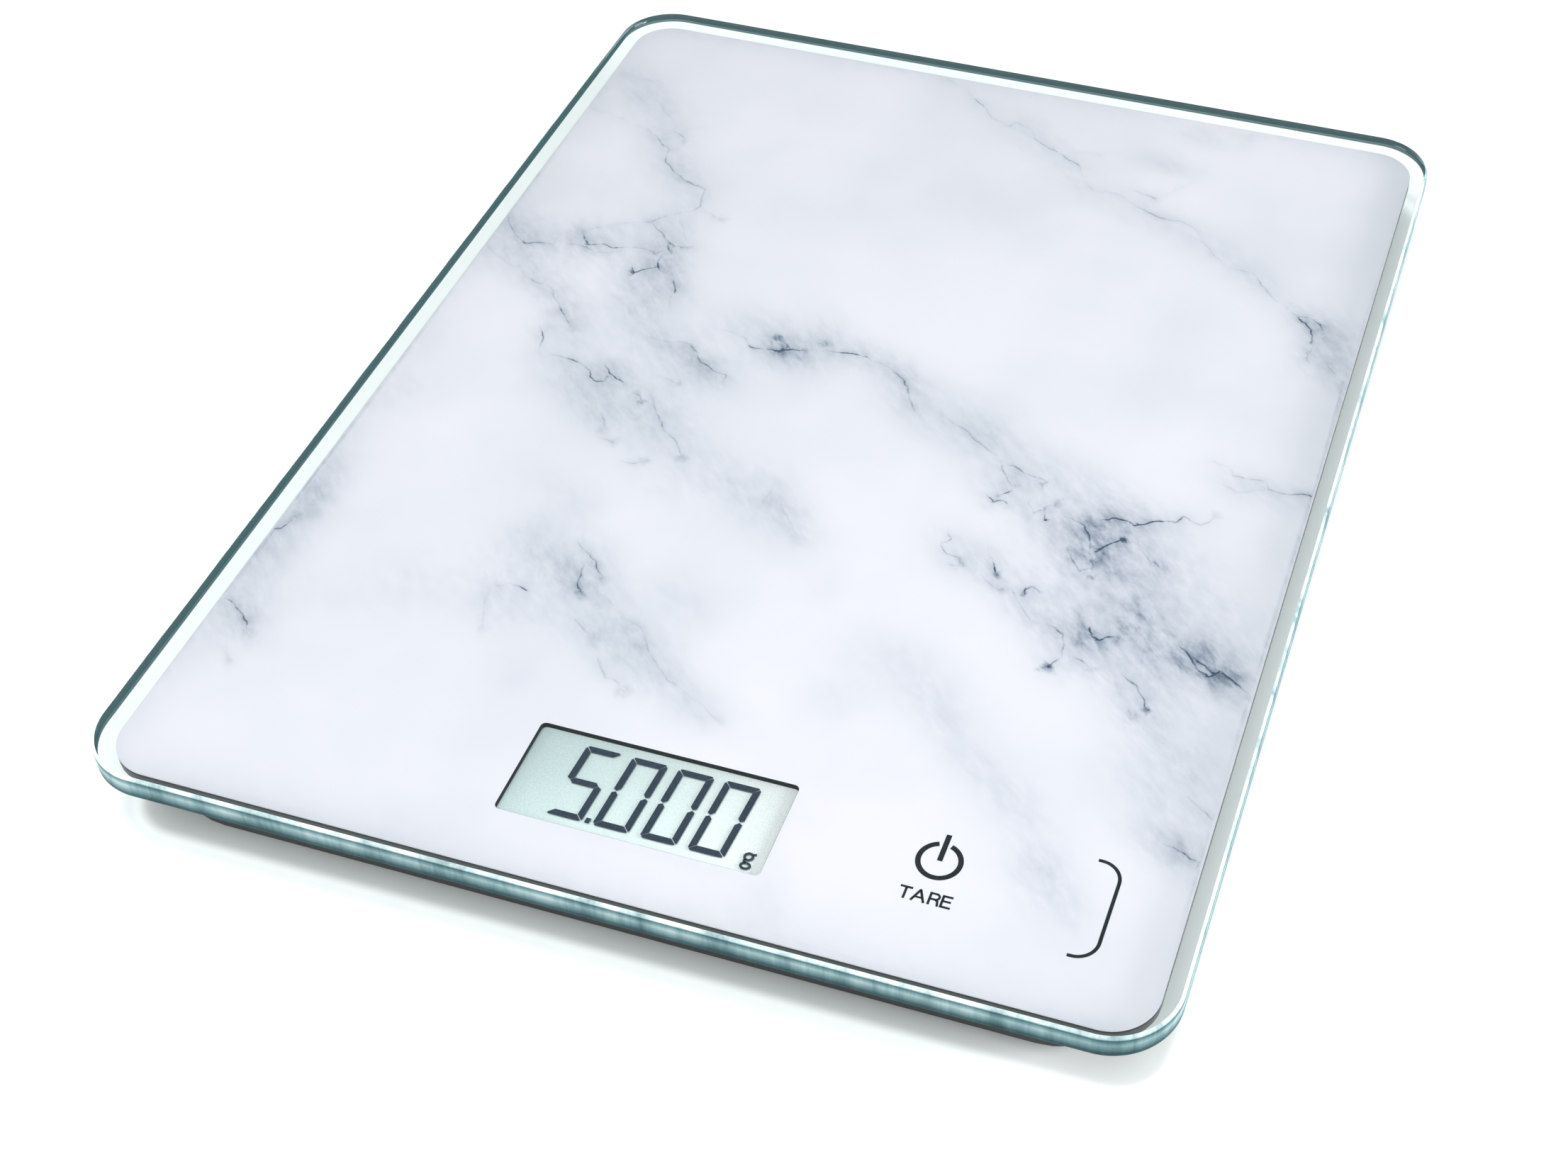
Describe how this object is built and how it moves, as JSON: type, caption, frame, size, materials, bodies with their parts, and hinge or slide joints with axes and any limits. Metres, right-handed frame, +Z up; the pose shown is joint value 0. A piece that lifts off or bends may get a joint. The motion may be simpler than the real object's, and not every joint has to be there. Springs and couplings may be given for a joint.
{
  "type": "kitchen scale",
  "caption": "Flat digital kitchen scale: glass platform with marble decor and display window on a slim black housing with sprung load-cell feet.",
  "frame": {"origin": "on the table, under the centre of the platform", "axes": "+X to the user's right, +Y away from the user, +Z up"},
  "size_m": [0.15, 0.198, 0.0155],
  "materials": {
    "clear_glass": "polished float glass with a faint green edge",
    "decor_ink": "white ink printed with grey marble veins",
    "adhesive": "thin acrylic adhesive sheet",
    "black_abs": "fine moulded texture",
    "dark_abs": "fine moulded texture",
    "grey_plastic": "smooth moulded",
    "lcd_glass": "polarised display glass",
    "lcd_backing": "grey-green reflector film",
    "white_plastic": "moulded, satin",
    "conductive_rubber": "layered elastomer",
    "rubber": "matt non-slip rubber",
    "board_laminate": "green solder mask",
    "black_epoxy": "glossy epoxy drop",
    "ceramic": "ceramic",
    "spring_steel": "stamped, bright",
    "screw_steel": "zinc plated",
    "nickel": "nickel plated",
    "lead_sleeve": "soft PVC sleeve",
    "red_lead": "soft PVC",
    "black_lead": "soft PVC"
  },
  "bodies": {
    "root": {"glass_platform": "clear_glass", "decor_print": "decor_ink", "adhesive_sheet": "adhesive", "housing_tray": "black_abs", "base_cover": "black_abs", "lcd_front_glass": "lcd_glass", "lcd_rear_glass": "lcd_glass", "lcd_reflector": "lcd_backing", "lcd_frame": "white_plastic", "zebra_strip_front": "conductive_rubber", "zebra_strip_back": "conductive_rubber", "main_board": "board_laminate", "chip_blob": "black_epoxy", "crystal": "nickel", "capacitor_1": "ceramic", "capacitor_2": "ceramic", "touch_spring": "spring_steel", "unit_switch": "spring_steel", "coin_cell": "nickel", "battery_contact_negative": "nickel", "battery_contact_positive": "nickel", "battery_lead_negative": "black_lead", "battery_lead_positive": "red_lead", "cell_carrier_front_left": "white_plastic", "load_cell_front_left": "spring_steel", "sensor_lead_front_left": "lead_sleeve", "cell_carrier_front_right": "white_plastic", "load_cell_front_right": "spring_steel", "sensor_lead_front_right": "lead_sleeve", "cell_carrier_back_left": "white_plastic", "load_cell_back_left": "spring_steel", "sensor_lead_back_left": "lead_sleeve", "cell_carrier_back_right": "white_plastic", "load_cell_back_right": "spring_steel", "sensor_lead_back_right": "lead_sleeve", "cover_screw_1": "screw_steel", "cover_screw_2": "screw_steel", "cover_screw_3": "screw_steel", "cover_screw_4": "screw_steel", "cover_screw_5": "screw_steel", "cover_screw_6": "screw_steel", "board_screw_1": "screw_steel", "board_screw_2": "screw_steel", "board_screw_3": "screw_steel", "board_screw_4": "screw_steel"},
    "foot_front_left_body": {"foot_front_left": "dark_abs", "foot_pad_front_left": "rubber"},
    "foot_front_right_body": {"foot_front_right": "dark_abs", "foot_pad_front_right": "rubber"},
    "foot_back_left_body": {"foot_back_left": "dark_abs", "foot_pad_back_left": "rubber"},
    "foot_back_right_body": {"foot_back_right": "dark_abs", "foot_pad_back_right": "rubber"},
    "battery_lid_body": {"battery_lid": "dark_abs"},
    "unit_button_body": {"unit_button": "grey_plastic"}
  },
  "joints": [
    {"name": "foot_front_left_press", "type": "slide", "parent": "root", "child": "foot_front_left_body", "axis": [0, 0, 1], "range_m": [0, 0.0004], "stiffness_N_per_m": 12000},
    {"name": "foot_front_right_press", "type": "slide", "parent": "root", "child": "foot_front_right_body", "axis": [0, 0, 1], "range_m": [0, 0.0004], "stiffness_N_per_m": 12000},
    {"name": "foot_back_left_press", "type": "slide", "parent": "root", "child": "foot_back_left_body", "axis": [0, 0, 1], "range_m": [0, 0.0004], "stiffness_N_per_m": 12000},
    {"name": "foot_back_right_press", "type": "slide", "parent": "root", "child": "foot_back_right_body", "axis": [0, 0, 1], "range_m": [0, 0.0004], "stiffness_N_per_m": 12000},
    {"name": "battery_lid_turn", "type": "hinge", "parent": "root", "child": "battery_lid_body", "pos_m": [0, 0.008, 0.0022], "axis": [0, 0, 1], "range_deg": [0, 60]},
    {"name": "unit_button_press", "type": "slide", "parent": "root", "child": "unit_button_body", "axis": [0, 0, 1], "range_m": [0, 0.0004], "stiffness_N_per_m": 3000}
  ]
}
